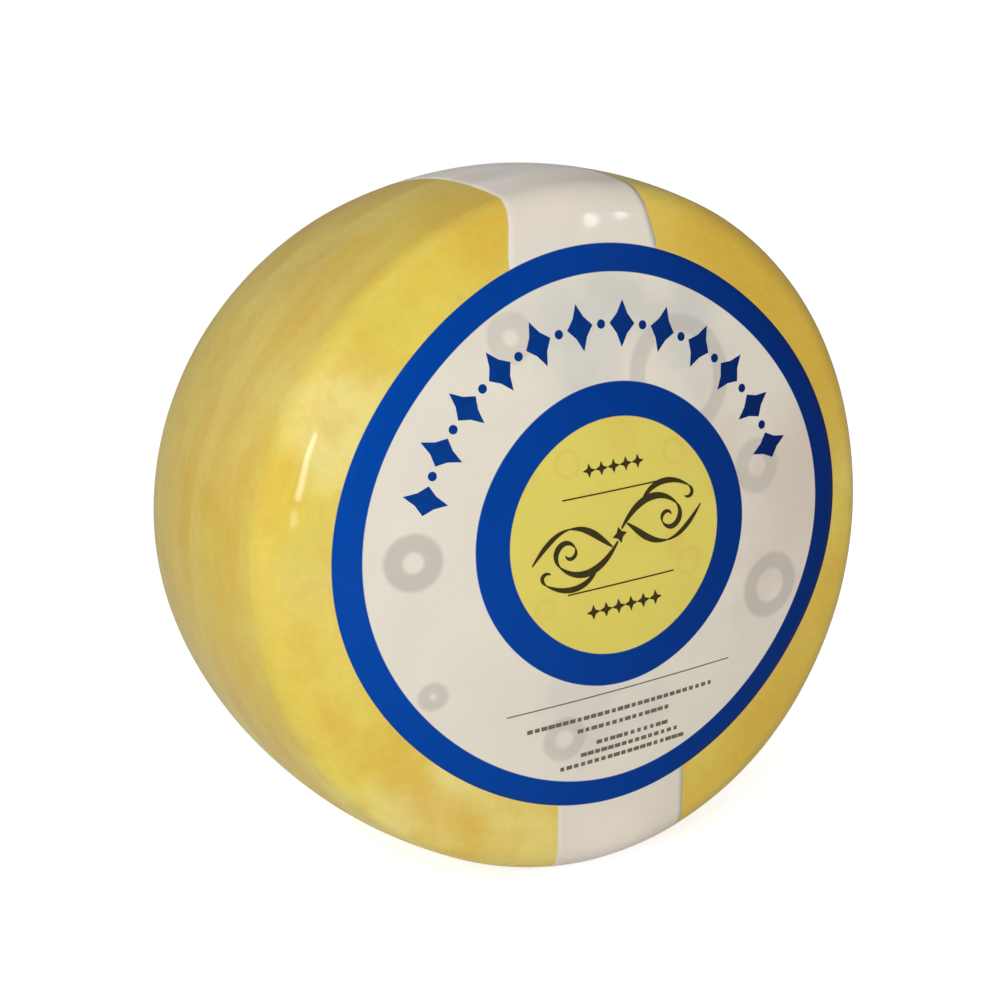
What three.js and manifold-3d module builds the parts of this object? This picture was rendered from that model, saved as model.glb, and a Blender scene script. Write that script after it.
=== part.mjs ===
// A farmhouse cheese: one whole wheel in a glossy yellow coat, standing on its rim with its
// labelled face to the front. The label is one printed sheet, set flush in the coat: a round
// field over the face, and two straps that pass over the rim and end on the back.
//
// Millimetres, +Z up. The wheel's axis lies along Y and the labelled face looks to -Y. The origin
// is on the ground, under the middle of the object's box.
import * as THREE from 'three';
import { mergeVertices } from 'three/addons/utils/BufferGeometryUtils.js';
import Module from 'manifold-3d';

const wasm = await Module();
wasm.setup();

// The wheel's section is three arcs, each tangent to the next: the face, the shoulder, the side.
const WHEEL_RADIUS = 110.5; // at the widest place
const HALF_DEPTH = 60.3; // from the widest place to the middle of each face
const FACE_CURVE = 588; // the faces crown by a few millimetres
const SIDE_CURVE = 200.4;
const FRONT_SHOULDER = 10.4;
const BACK_SHOULDER = 16.8;

// The rim isn't a true circle: it rises in two places, and again in three others.
const OVAL_RISE = 0.5;
const OVAL_TURN = THREE.MathUtils.degToRad(69);
const LOBE_RISE = 1.1;
const LOBE_TURN = THREE.MathUtils.degToRad(61);

// The wheel has settled on its rim, which is flat there.
const SETTLED = 1.5;

// The label's round field has stretched a little, across it and towards its four quarters.
const FIELD_RADIUS = 85.3;
const FIELD_OVAL = 1.3;
const FIELD_OVAL_TURN = THREE.MathUtils.degToRad(11);
const FIELD_SQUARENESS = 1.1;
const LABEL_TURN = THREE.MathUtils.degToRad(5.2); // anticlockwise, seen from the front
const LABEL_ACROSS = 2.6; // how far off the wheel's axis the label was laid
const LABEL_UP = 2.6;

// Each strap's width at the field and at its end, and at its neck by the rim: the top strap has
// drawn in there. Heights are from the field's middle.
const TOP_STRAP = { root: 49.4, neck: 43.2 };
const BOTTOM_STRAP = { root: 45.8, neck: 46.2 };
const STRAP_ROOT = 84; // where a strap's width starts to change
const STRAP_NECK = 101; // where it has changed
const STRAP_TOP = 130; // past the rim
const STRAP_ACROSS = 0.3; // off the field's own middle
const STRAP_END = 63; // how near that middle the straps come on the back
const LABEL_THICKNESS = 0.4;
const LABEL_GAP = 0.3; // clear of the coat, all round and behind

// How finely the curves are faceted.
const SEGMENTS = 72;
const FACE_STEPS = 5;
const SHOULDER_STEPS = 6;
const SIDE_STEPS = 6;
const FIELD_POINTS = 72;

const COAT = new THREE.MeshStandardMaterial({ color: 0xdcc065, roughness: 0.3, metalness: 0 });
const PRINTED = new THREE.MeshStandardMaterial({ color: 0xe4dacd, roughness: 0.35, metalness: 0 });

// A triangle mesh as a solid, and a solid as a mesh.
function toSolid(geometry) {
  const bare = new THREE.BufferGeometry();
  bare.setAttribute('position', geometry.getAttribute('position'));
  bare.setIndex(geometry.getIndex());
  const merged = mergeVertices(bare, 1e-3);
  const corners = merged.getIndex().array;
  const triangles = [];
  for (let i = 0; i < corners.length; i += 3) {
    const [a, b, c] = corners.slice(i, i + 3);
    if (a !== b && b !== c && c !== a) triangles.push(a, b, c);
  }
  const vertProperties = merged.getAttribute('position').array;
  const triVerts = new Uint32Array(triangles);
  return new wasm.Manifold(new wasm.Mesh({ numProp: 3, vertProperties, triVerts }));
}

function toGeometry(solid) {
  const mesh = solid.getMesh();
  const geometry = new THREE.BufferGeometry();
  geometry.setAttribute('position', new THREE.BufferAttribute(mesh.vertProperties, 3));
  geometry.setIndex(new THREE.BufferAttribute(mesh.triVerts, 1));
  geometry.computeVertexNormals();
  return geometry;
}

// The middle of the shoulder's arc, as (distance from the axis, height above the widest place).
// It lies inside the face's arc and the side's arc, by its own radius less than each of theirs.
const FACE_CENTRE = new THREE.Vector2(0, HALF_DEPTH - FACE_CURVE);
const SIDE_CENTRE = new THREE.Vector2(WHEEL_RADIUS - SIDE_CURVE, 0);

function shoulderCentre(shoulder) {
  const toFace = FACE_CURVE - shoulder;
  const toSide = SIDE_CURVE - shoulder;
  const apart = SIDE_CENTRE.distanceTo(FACE_CENTRE);
  const along = (toFace ** 2 - toSide ** 2 + apart ** 2) / (2 * apart);
  const across = Math.sqrt(toFace ** 2 - along ** 2);
  const line = SIDE_CENTRE.clone().sub(FACE_CENTRE).normalize();
  const outward = new THREE.Vector2(line.y, -line.x);
  return FACE_CENTRE.clone().addScaledVector(line, along).addScaledVector(outward, across);
}

function arc(centre, radius, from, to, steps) {
  const points = [];
  for (let i = 0; i <= steps; i += 1) {
    const angle = from + ((to - from) * i) / steps;
    const x = centre.x + radius * Math.cos(angle);
    points.push(new THREE.Vector2(Math.max(x, 0), centre.y + radius * Math.sin(angle)));
  }
  return points;
}

// Half of the section, from the middle of a face to the widest place. With an offset, it is the
// line that runs that far outside the coat, or inside it where the offset is negative.
function halfSection(shoulder, offset) {
  const corner = shoulderCentre(shoulder);
  const faceEnd = corner.clone().sub(FACE_CENTRE).angle();
  const sideEnd = corner.clone().sub(SIDE_CENTRE).angle();
  return [
    ...arc(FACE_CENTRE, FACE_CURVE + offset, Math.PI / 2, faceEnd, FACE_STEPS),
    ...arc(corner, shoulder + offset, faceEnd, sideEnd, SHOULDER_STEPS).slice(1),
    ...arc(SIDE_CENTRE, SIDE_CURVE + offset, sideEnd, 0, SIDE_STEPS).slice(1),
  ];
}

// How much further out the rim lies at an angle round the wheel, as a share of its radius.
function outOfRound(angle) {
  const oval = OVAL_RISE * Math.cos(2 * (angle - OVAL_TURN));
  const lobes = LOBE_RISE * Math.cos(3 * (angle - LOBE_TURN));
  return (oval + lobes) / WHEEL_RADIUS;
}

const BOTTOM = -Math.PI / 2;
const AXIS_HEIGHT = WHEEL_RADIUS * (1 + outOfRound(BOTTOM)) - SETTLED;

// The wheel's whole surface, or the surface that runs an offset outside or inside it.
function wheelSurface(offset) {
  const front = halfSection(FRONT_SHOULDER, offset).map((p) => new THREE.Vector2(p.x, -p.y));
  const back = halfSection(BACK_SHOULDER, offset).reverse().slice(1);
  const halfStep = Math.PI / SEGMENTS;
  const geometry = new THREE.LatheGeometry([...front, ...back], SEGMENTS, halfStep);
  const place = geometry.getAttribute('position');
  for (let i = 0; i < place.count; i += 1) {
    const x = place.getX(i);
    const z = place.getZ(i);
    const share = Math.min(Math.hypot(x, z) / WHEEL_RADIUS, 1) ** 4;
    const swell = 1 + share * outOfRound(Math.atan2(z, x));
    const height = z * swell + AXIS_HEIGHT;
    place.setXYZ(i, x * swell, place.getY(i), Math.max(height, -offset));
  }
  return geometry;
}

// The label's round field, seen from the front, about its own middle.
function fieldOutline(grow) {
  const points = [];
  for (let i = 0; i < FIELD_POINTS; i += 1) {
    const angle = (2 * Math.PI * i) / FIELD_POINTS;
    const oval = FIELD_OVAL * Math.cos(2 * (angle - FIELD_OVAL_TURN));
    const radius = FIELD_RADIUS + oval + FIELD_SQUARENESS * Math.cos(4 * angle) + grow;
    points.push(new THREE.Vector2(radius * Math.cos(angle), radius * Math.sin(angle)));
  }
  return new THREE.Shape(points);
}

// A round column through the front half of the wheel, where the field lies.
function fieldColumn(grow) {
  const depth = 2 * HALF_DEPTH;
  const column = new THREE.ExtrudeGeometry(fieldOutline(grow), { depth, bevelEnabled: false });
  return toSolid(column.rotateX(Math.PI / 2));
}

// One strap's outline, seen from the front with the rim up, about the field's middle.
function strapOutline(strap, grow) {
  const atRoot = strap.root / 2 + grow;
  const atNeck = strap.neck / 2 + grow;
  const right = [
    new THREE.Vector2(atRoot, STRAP_END - grow),
    new THREE.Vector2(atRoot, STRAP_ROOT),
    new THREE.Vector2(atNeck, STRAP_NECK),
    new THREE.Vector2(atNeck, STRAP_TOP),
  ];
  const left = right.map((p) => new THREE.Vector2(-p.x, p.y)).reverse();
  return new THREE.Shape([...right, ...left]);
}

// A slab over the rim, from the front to the back, where a strap lies.
function strapSlab(strap, turn, grow) {
  const depth = 4 * HALF_DEPTH;
  const outline = strapOutline(strap, grow);
  const slab = new THREE.ExtrudeGeometry(outline, { depth, bevelEnabled: false });
  slab.translate(0, 0, -depth / 2).rotateX(Math.PI / 2);
  return toSolid(slab.rotateY(turn).translate(STRAP_ACROSS, 0, 0));
}

// The space that the label takes out of the wheel's surface, turned and shifted as it was laid.
function labelSpace(grow) {
  const top = strapSlab(TOP_STRAP, 0, grow);
  const bottom = strapSlab(BOTTOM_STRAP, Math.PI, grow);
  const space = fieldColumn(grow).add(top).add(bottom);
  const geometry = toGeometry(space).rotateY(-LABEL_TURN);
  const across = new THREE.Vector3(Math.cos(LABEL_TURN), 0, Math.sin(LABEL_TURN));
  const up = new THREE.Vector3(-Math.sin(LABEL_TURN), 0, Math.cos(LABEL_TURN));
  const shift = across.multiplyScalar(LABEL_ACROSS).addScaledVector(up, LABEL_UP);
  geometry.translate(shift.x, 0, shift.z + AXIS_HEIGHT);
  return toSolid(geometry);
}

// The coat stands back round and behind the label, so the label's face is flush with it.
function wheelSolid() {
  const whole = toSolid(wheelSurface(0));
  const bedFloor = toSolid(wheelSurface(-LABEL_THICKNESS - LABEL_GAP));
  const bed = toSolid(wheelSurface(1)).subtract(bedFloor).intersect(labelSpace(LABEL_GAP));
  return whole.subtract(bed);
}

function labelSolid() {
  const sheet = toSolid(wheelSurface(0)).subtract(toSolid(wheelSurface(-LABEL_THICKNESS)));
  return sheet.intersect(labelSpace(0));
}

function named(name, solid, material) {
  const mesh = new THREE.Mesh(toGeometry(solid), material);
  mesh.name = name;
  return mesh;
}

const wheel = named('cheese_wheel', wheelSolid(), COAT);
const label = named('label', labelSolid(), PRINTED);
const cheese = new THREE.Group();
cheese.add(wheel, label);

// The origin goes under the middle of the wheel's box.
const box = new THREE.Box3().setFromObject(cheese);
cheese.position.set(-(box.min.x + box.max.x) / 2, -(box.min.y + box.max.y) / 2, -box.min.z);

export default cheese;
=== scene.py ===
"""A farmhouse cheese: one whole wheel in a glossy yellow coat, standing on its rim.

A printed film label lies flush in the coat: a round field over the front face, and two straps
that pass over the rim and end on the back. Metres, +Z up. The wheel's axis lies along Y, and the
labelled face looks to -Y.

The wheel's surface is written once, as a node group that lays a flat disc on it: how far a point
lies from the disc's middle is how far it lies along the wheel's section from the middle of the
front face. The coat, the label and every printed mark are laid on the wheel by that group.
"""

from __future__ import annotations

import logging
import math
from dataclasses import dataclass
from dataclasses import field
from enum import Enum
from typing import Any
from typing import Iterable
from typing import Sequence
from typing import Union

import bpy
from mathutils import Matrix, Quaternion
from mathutils import Vector

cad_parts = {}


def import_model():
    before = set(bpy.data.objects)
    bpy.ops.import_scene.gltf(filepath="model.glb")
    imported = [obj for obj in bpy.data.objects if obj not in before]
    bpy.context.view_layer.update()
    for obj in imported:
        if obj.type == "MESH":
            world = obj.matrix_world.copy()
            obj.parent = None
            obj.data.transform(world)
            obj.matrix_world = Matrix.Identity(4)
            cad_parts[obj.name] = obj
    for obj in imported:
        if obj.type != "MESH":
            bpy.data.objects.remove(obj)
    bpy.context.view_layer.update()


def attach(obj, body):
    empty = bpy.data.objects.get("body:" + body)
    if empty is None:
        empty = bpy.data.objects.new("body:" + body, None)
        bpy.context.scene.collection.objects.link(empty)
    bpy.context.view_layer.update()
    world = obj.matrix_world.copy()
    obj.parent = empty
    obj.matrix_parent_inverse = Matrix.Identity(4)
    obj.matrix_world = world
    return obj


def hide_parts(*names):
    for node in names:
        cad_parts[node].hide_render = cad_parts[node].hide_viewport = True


MM = 0.001
BODY = "root"
LOG = logging.getLogger("cheese")

Socket = bpy.types.NodeSocket
Feed = Union[Socket, float, int, bool, Sequence[float]]
Point = tuple[float, float]
Colour = tuple[float, float, float]

MOST: Point = (0.3, 0.7)  # soft noise lies mostly between these


class Slot(Enum):
    """The material slots that the pieces take their finish from."""

    COAT = "cheese_coat"
    LABEL = "printed_label"


class Strap(Enum):
    """The label's two straps, by the way that each leaves the field."""

    TOP = 1
    BOTTOM = -1


# ---------------------------------------------------------------------------------------------
# Node trees
# ---------------------------------------------------------------------------------------------


class Graph:
    """Adds nodes to one tree, and links or sets their inputs."""

    def __init__(self, tree: bpy.types.NodeTree) -> None:
        """Takes the tree that the nodes go into."""
        self.tree = tree

    def add(self, kind: str, feeds: dict[Any, Feed] | None = None, **settings: Any) -> bpy.types.Node:
        """Adds one node.

        Args:
            kind: The node's type, as Blender names it.
            feeds: What goes into its inputs, by their name or number.
            settings: The node's own options.

        Returns:
            The new node.
        """
        node = self.tree.nodes.new(kind)
        for option, value in settings.items():
            setattr(node, option, value)
        for key, value in (feeds or {}).items():
            self.feed(node.inputs[key], value)
        return node

    def feed(self, socket: Socket, value: Feed) -> None:
        """Links a socket to an input, or sets the input to a constant."""
        if isinstance(value, Socket):
            self.tree.links.new(value, socket)
        else:
            socket.default_value = value

    def math(self, operation: str, *values: Feed) -> Socket:
        """One step of arithmetic on numbers."""
        node = self.add("ShaderNodeMath", dict(enumerate(values)), operation=operation)
        return node.outputs[0]

    def total(self, values: Iterable[Feed]) -> Socket:
        """The sum of several numbers."""
        first, *others = values
        for value in others:
            first = self.math("ADD", first, value)
        return first

    def vector_math(self, operation: str, *values: Feed) -> Socket:
        """One step of arithmetic on vectors."""
        node = self.add("ShaderNodeVectorMath", dict(enumerate(values)), operation=operation)
        is_number = operation in ("LENGTH", "DISTANCE", "DOT_PRODUCT")
        return node.outputs["Value" if is_number else "Vector"]

    def combine(self, x: Feed, y: Feed, z: Feed) -> Socket:
        """A vector of three numbers."""
        return self.add("ShaderNodeCombineXYZ", {0: x, 1: y, 2: z}).outputs[0]

    def separate(self, vector: Feed) -> list[Socket]:
        """The three numbers of a vector."""
        return list(self.add("ShaderNodeSeparateXYZ", {0: vector}).outputs)

    def remap(self, value: Feed, old: Point, new: Point = (0.0, 1.0), smooth: bool = False) -> Socket:
        """Maps one range of a number onto another, and holds it inside the new one.

        Args:
            value: The number.
            old: The range that it comes from.
            new: The range that it goes to.
            smooth: Whether it leaves and reaches the ends of the range softly.

        Returns:
            The new number.
        """
        kind = "SMOOTHSTEP" if smooth else "LINEAR"
        feeds = {0: value, 1: old[0], 2: old[1], 3: new[0], 4: new[1]}
        return self.add("ShaderNodeMapRange", feeds, interpolation_type=kind).outputs[0]

    def noise(self, place: Feed, scale: float, detail: float = 2.0, shift: float = 0.0) -> Socket:
        """Soft noise from 0 to 1.

        Args:
            place: Where each point lies.
            scale: How many waves there are in a metre.
            detail: How many finer layers lie over the first.
            shift: Moves the pattern, so that two patterns don't look alike.

        Returns:
            The noise.
        """
        moved = self.vector_math("ADD", place, (shift, 1.7 * shift, 2.3 * shift))
        feeds = {"Vector": moved, "Scale": scale, "Detail": detail, "Roughness": 0.5}
        return self.add("ShaderNodeTexNoise", feeds).outputs[0]

    def streaks(self, place: Feed, around: float, across: float, shift: float = 0.0) -> Socket:
        """Soft noise from 0 to 1, drawn out round the wheel's axis.

        Args:
            place: Where each point lies from the wheel's middle.
            around: How long the waves are round the wheel, as waves in a radian.
            across: How many waves there are in a metre, out from the axis and along it.
            shift: Moves the pattern, so that two patterns don't look alike.

        Returns:
            The noise.
        """
        x, y, z = self.separate(place)
        away = self.vector_math("LENGTH", self.combine(x, 0.0, z))
        angle = self.math("ARCTAN2", z, x)
        cosine = self.math("MULTIPLY", self.math("COSINE", angle), around)
        sine = self.math("MULTIPLY", self.math("SINE", angle), around)
        vector = self.combine(cosine, sine, self.math("MULTIPLY_ADD", y, across, shift))
        feeds = {"Vector": vector, "W": self.math("MULTIPLY", away, across), "Scale": 1.0, "Detail": 3.0}
        return self.add("ShaderNodeTexNoise", feeds, noise_dimensions="4D").outputs[0]

    def join(self, parts: Iterable[Socket]) -> Socket:
        """Several geometries as one."""
        node = self.add("GeometryNodeJoinGeometry")
        for part in parts:
            self.tree.links.new(part, node.inputs[0])
        return node.outputs[0]

    def switch(self, condition: Feed, otherwise: Feed, chosen: Feed) -> Socket:
        """The second number where a condition holds, and else the first."""
        feeds = {"Switch": condition, "False": otherwise, "True": chosen}
        return self.add("GeometryNodeSwitch", feeds, input_type="FLOAT").outputs[0]


SOCKETS = {
    "float": "NodeSocketFloat",
    "int": "NodeSocketInt",
    "vector": "NodeSocketVector",
    "geometry": "NodeSocketGeometry",
    "material": "NodeSocketMaterial",
}


def new_group(name: str, takes: dict[str, str], gives: dict[str, str]) -> tuple[Graph, Any, Any]:
    """Starts a geometry node group.

    Args:
        name: The group's name.
        takes: Its inputs, each with one of the kinds in SOCKETS.
        gives: Its outputs, in the same way.

    Returns:
        The graph, the outputs of its input node, and the inputs of its output node.
    """
    tree = bpy.data.node_groups.new(name, "GeometryNodeTree")
    for label, kind in takes.items():
        tree.interface.new_socket(name=label, in_out="INPUT", socket_type=SOCKETS[kind])
    for label, kind in gives.items():
        tree.interface.new_socket(name=label, in_out="OUTPUT", socket_type=SOCKETS[kind])
    graph = Graph(tree)
    return graph, graph.add("NodeGroupInput").outputs, graph.add("NodeGroupOutput").inputs


def use_group(graph: Graph, group: bpy.types.NodeTree, feeds: dict[Any, Feed]) -> Any:
    """Puts one group into another, and returns its outputs."""
    node = graph.add("GeometryNodeGroup", node_tree=group)
    for key, value in feeds.items():
        graph.feed(node.inputs[key], value)
    return node.outputs


def grow(
    name: str, tree: bpy.types.NodeTree, sizes: dict[str, Any], mesh: bpy.types.Mesh | None = None
) -> bpy.types.Object:
    """Runs a tree and keeps what it makes as a plain mesh.

    Args:
        name: The piece's name.
        tree: A geometry node group whose first output is the geometry.
        sizes: Values for the group's named inputs.
        mesh: What the tree starts from, if it starts from a mesh.

    Returns:
        The finished piece, with no modifier left on it.
    """
    piece = bpy.data.objects.new(name, mesh or bpy.data.meshes.new(name))
    bpy.context.scene.collection.objects.link(piece)
    modifier = piece.modifiers.new("Tree", "NODES")
    modifier.node_group = tree
    sockets = [item for item in tree.interface.items_tree if item.item_type == "SOCKET"]
    identifiers = {item.name: item.identifier for item in sockets if item.in_out == "INPUT"}
    for label, value in sizes.items():
        modifier[identifiers[label]] = value
    depsgraph = bpy.context.evaluated_depsgraph_get()
    evaluated = piece.evaluated_get(depsgraph)
    finished = bpy.data.meshes.new_from_object(
        evaluated, preserve_all_data_layers=True, depsgraph=depsgraph
    )
    piece.modifiers.remove(modifier)
    piece.data = finished
    finished.name = name
    return piece


# ---------------------------------------------------------------------------------------------
# The wheel's form
# ---------------------------------------------------------------------------------------------


@dataclass(frozen=True)
class Arc:
    """One arc of the section, in (distance from the axis, place along Y)."""

    centre: Point
    radius: float
    turn: float  # the way that the surface faces where the arc starts, from the axis outwards
    sweep: float
    start: float  # how far along the section it starts, from the middle of the front face

    @property
    def length(self) -> float:
        """How long the arc is."""
        return self.radius * self.sweep


@dataclass(frozen=True)
class WheelForm:
    """The wheel's own shape, with no coat or label: three tangent arcs for each half."""

    radius: float = 110.5 * MM
    half_depth: float = 60.3 * MM
    face_curve: float = 588 * MM
    side_curve: float = 200.4 * MM
    front_shoulder: float = 10.4 * MM
    back_shoulder: float = 16.8 * MM
    oval_rise: float = 0.5 * MM
    oval_turn: float = math.radians(69)
    lobe_rise: float = 1.1 * MM
    lobe_turn: float = math.radians(61)
    settled: float = 1.5 * MM

    def _shoulder_centre(self, shoulder: float) -> Point:
        """The middle of a shoulder's arc, as (distance from the axis, height towards the face)."""
        face = Vector((0.0, self.half_depth - self.face_curve))
        side = Vector((self.radius - self.side_curve, 0.0))
        to_face = self.face_curve - shoulder
        to_side = self.side_curve - shoulder
        apart = (side - face).length
        along = (to_face**2 - to_side**2 + apart**2) / (2 * apart)
        across = math.sqrt(to_face**2 - along**2)
        line = (side - face) / apart
        centre = face + line * along + Vector((line.y, -line.x)) * across
        return centre.x, centre.y

    def _half(self, shoulder: float) -> tuple[float, float, Point]:
        """How far the face and the shoulder each turn, and the shoulder's middle."""
        x, y = self._shoulder_centre(shoulder)
        face_sweep = math.atan2(x, y + self.face_curve - self.half_depth)
        side_turn = math.atan2(y, x - self.radius + self.side_curve)
        return face_sweep, math.pi / 2 - face_sweep - side_turn, (x, y)

    def arcs(self) -> list[Arc]:
        """The five arcs of the section, from the middle of the front face to that of the back."""
        face_depth = self.face_curve - self.half_depth
        front_face, front_shoulder, (front_x, front_y) = self._half(self.front_shoulder)
        back_face, back_shoulder, (back_x, back_y) = self._half(self.back_shoulder)
        side = math.pi - front_face - front_shoulder - back_face - back_shoulder
        rows = [
            ((0.0, face_depth), self.face_curve, front_face),
            ((front_x, -front_y), self.front_shoulder, front_shoulder),
            ((self.radius - self.side_curve, 0.0), self.side_curve, side),
            ((back_x, back_y), self.back_shoulder, back_shoulder),
            ((0.0, -face_depth), self.face_curve, back_face),
        ]
        arcs: list[Arc] = []
        turn = -math.pi / 2
        start = 0.0
        for centre, radius, sweep in rows:
            arcs.append(Arc(centre, radius, turn, sweep, start))
            turn += sweep
            start += radius * sweep
        return arcs

    @property
    def section_length(self) -> float:
        """How long the section is, from the middle of one face to that of the other."""
        last = self.arcs()[-1]
        return last.start + last.length

    def radius_at(self, along: float) -> float:
        """How far from the axis the section lies, at a distance along it."""
        arc = [arc for arc in self.arcs() if arc.start <= along or arc.start == 0.0][-1]
        angle = arc.turn + (along - arc.start) / arc.radius
        return arc.centre[0] + arc.radius * math.cos(angle)

    def along_face(self, radius: float) -> float:
        """How far along the section a point of the front face lies, by its distance from the axis."""
        return self.face_curve * math.asin(radius / self.face_curve)

    def swell(self, angle: float, radius: float) -> float:
        """How many times further out than a true circle the wheel lies, at an angle round it."""
        oval = self.oval_rise * math.cos(2 * (angle - self.oval_turn))
        lobes = self.lobe_rise * math.cos(3 * (angle - self.lobe_turn))
        return 1 + min(radius / self.radius, 1.0) ** 4 * (oval + lobes) / self.radius

    @property
    def axis(self) -> Point:
        """Where the wheel's axis lies, in X and Z: its box is centred over the origin."""
        turns = [math.radians(degree / 2) for degree in range(720)]
        reach = [self.radius * self.swell(turn, self.radius) * math.cos(turn) for turn in turns]
        height = self.radius * self.swell(-math.pi / 2, self.radius) - self.settled
        return -(min(reach) + max(reach)) / 2, height


def add_swell(graph: Graph, form: WheelForm, angle: Feed, radius: Feed) -> Socket:
    """Adds the nodes that work out WheelForm.swell.

    Args:
        graph: The graph that they go into.
        form: The wheel's form.
        angle: The angle round the wheel.
        radius: The distance from the axis, before the swell.

    Returns:
        How many times further out than a true circle the wheel lies.
    """
    rises = []
    for count, rise, turn in ((2, form.oval_rise, form.oval_turn), (3, form.lobe_rise, form.lobe_turn)):
        turned = graph.math("MULTIPLY", graph.math("SUBTRACT", angle, turn), float(count))
        rises.append(graph.math("MULTIPLY", graph.math("COSINE", turned), rise / form.radius))
    share = graph.math("MINIMUM", graph.math("DIVIDE", radius, form.radius), 1.0)
    rise = graph.math("MULTIPLY", graph.math("POWER", share, 4.0), graph.total(rises))
    return graph.math("ADD", rise, 1.0)


@dataclass(frozen=True)
class Relief:
    """The coat's low dents and ripples. They only go inwards, so that the wheel keeps its size."""

    dent_depth: float = 0.26 * MM
    dent_scale: float = 17.0  # waves in a metre
    ripple_depth: float = 0.03 * MM
    ripple_scale: float = 75.0
    ripple_levels: Point = (0.25, 0.75)  # the noise at the top of a ripple, and at its foot

    def depth(self, graph: Graph, place: Feed) -> Socket:
        """How far inwards the surface goes at a place."""
        dents = graph.noise(place, self.dent_scale, detail=1.0, shift=3.1)
        ripples = graph.noise(place, self.ripple_scale, detail=1.0, shift=8.4)
        deep = graph.math("MULTIPLY", graph.remap(dents, MOST), self.dent_depth)
        fine = graph.math("MULTIPLY", graph.remap(ripples, self.ripple_levels), self.ripple_depth)
        return graph.math("ADD", deep, fine)


@dataclass
class WheelSurface:
    """The node group that lays a flat disc on the wheel.

    A point's distance from the disc's middle is its way along the section, its direction is its
    angle round the wheel, and its height is how far it stands off the wheel's form.
    """

    form: WheelForm = field(default_factory=WheelForm)
    relief: Relief = field(default_factory=Relief)
    lowest_lift: float = 0.04 * MM  # the label's skin touches the ground, and lies this far in
    tree: bpy.types.NodeTree | None = None

    def build(self) -> bpy.types.NodeTree:
        """Builds the group.

        Returns:
            A group with one input, Flat, and one output, Place.
        """
        graph, takes, gives = new_group("lay_on_wheel", {"Flat": "vector"}, {"Place": "vector"})
        flat_x, flat_y, lift = graph.separate(takes["Flat"])
        angle = graph.math("ARCTAN2", flat_y, flat_x)
        along = graph.vector_math("LENGTH", graph.combine(flat_x, flat_y, 0.0))
        radius, depth, turn = self._section(graph, along)
        out = graph.math("COSINE", turn)
        cosine = graph.math("COSINE", angle)
        sine = graph.math("SINE", angle)
        swell = add_swell(graph, self.form, angle, radius)
        swollen = graph.math("MULTIPLY", radius, swell)
        base = graph.combine(
            graph.math("MULTIPLY", swollen, cosine), depth, graph.math("MULTIPLY", swollen, sine)
        )
        normal = graph.combine(
            graph.math("MULTIPLY", out, cosine), graph.math("SINE", turn), graph.math("MULTIPLY", out, sine)
        )
        height = graph.math("SUBTRACT", lift, self.relief.depth(graph, base))
        raised = graph.add("ShaderNodeVectorMath", operation="SCALE")
        graph.feed(raised.inputs[0], normal)
        graph.feed(raised.inputs["Scale"], height)
        centred = graph.vector_math("ADD", base, raised.outputs["Vector"])
        axis_x, axis_z = self.form.axis
        x, y, z = graph.separate(graph.vector_math("ADD", centred, (axis_x, 0.0, axis_z)))
        ground = graph.math("SUBTRACT", -self.lowest_lift, lift)
        graph.feed(gives["Place"], graph.combine(x, y, graph.math("MAXIMUM", z, ground)))
        self.tree = graph.tree
        return graph.tree

    def _section(self, graph: Graph, along: Feed) -> tuple[Feed, Feed, Feed]:
        """Adds the section's arcs, one after another.

        Args:
            graph: The graph that they go into.
            along: The distance along the section.

        Returns:
            The distance from the axis, the place along Y, and the way that the surface faces.
        """
        radius: Feed = 0.0
        depth: Feed = 0.0
        facing: Feed = 0.0
        for arc in self.form.arcs():
            past = graph.math("SUBTRACT", along, arc.start)
            turn = graph.math("ADD", graph.math("DIVIDE", past, arc.radius), arc.turn)
            out = graph.math("MULTIPLY_ADD", graph.math("COSINE", turn), arc.radius, arc.centre[0])
            back = graph.math("MULTIPLY_ADD", graph.math("SINE", turn), arc.radius, arc.centre[1])
            here = graph.math("GREATER_THAN", along, arc.start)
            radius = graph.switch(here, radius, out) if arc.start else out
            depth = graph.switch(here, depth, back) if arc.start else back
            facing = graph.switch(here, facing, turn) if arc.start else turn
        return radius, depth, facing

    def lay(self, graph: Graph, mesh: Feed, flat: Feed) -> Socket:
        """Lays a mesh on the wheel, from where each of its points lies on the flat disc."""
        place = use_group(graph, self.tree, {"Flat": flat})["Place"]
        return graph.add("GeometryNodeSetPosition", {"Geometry": mesh, "Position": place}).outputs[0]


def finish_tree(graph: Graph, mesh: Feed, material: Feed, smooth: bool = True) -> Socket:
    """Ends a tree: smooths the mesh or not, realizes what is repeated and gives it its finish."""
    mesh = graph.add("GeometryNodeSetShadeSmooth", {"Geometry": mesh, "Shade Smooth": smooth}).outputs[0]
    mesh = graph.add("GeometryNodeRealizeInstances", {"Geometry": mesh}).outputs[0]
    return graph.add("GeometryNodeSetMaterial", {"Geometry": mesh, "Material": material}).outputs[0]


# ---------------------------------------------------------------------------------------------
# Finishes
# ---------------------------------------------------------------------------------------------


def mix_colour(graph: Graph, share: Feed, under: Feed, over: Feed, blend: str = "MIX") -> Socket:
    """Lays one colour over another, by a share from 0 to 1."""
    node = graph.add("ShaderNodeMix", data_type="RGBA", blend_type=blend)
    graph.feed(node.inputs["Factor"], share)
    for socket, value in (("A_Color", under), ("B_Color", over)):
        target = next(item for item in node.inputs if item.identifier == socket)
        graph.feed(target, value if isinstance(value, Socket) else (*value, 1.0))
    return next(item for item in node.outputs if item.identifier == "Result_Color")


def new_material(name: str) -> tuple[bpy.types.Material, Graph, bpy.types.Node]:
    """A material with its graph and its shader node."""
    material = bpy.data.materials.new(name)
    material.use_nodes = True
    graph = Graph(material.node_tree)
    return material, graph, material.node_tree.nodes["Principled BSDF"]


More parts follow.
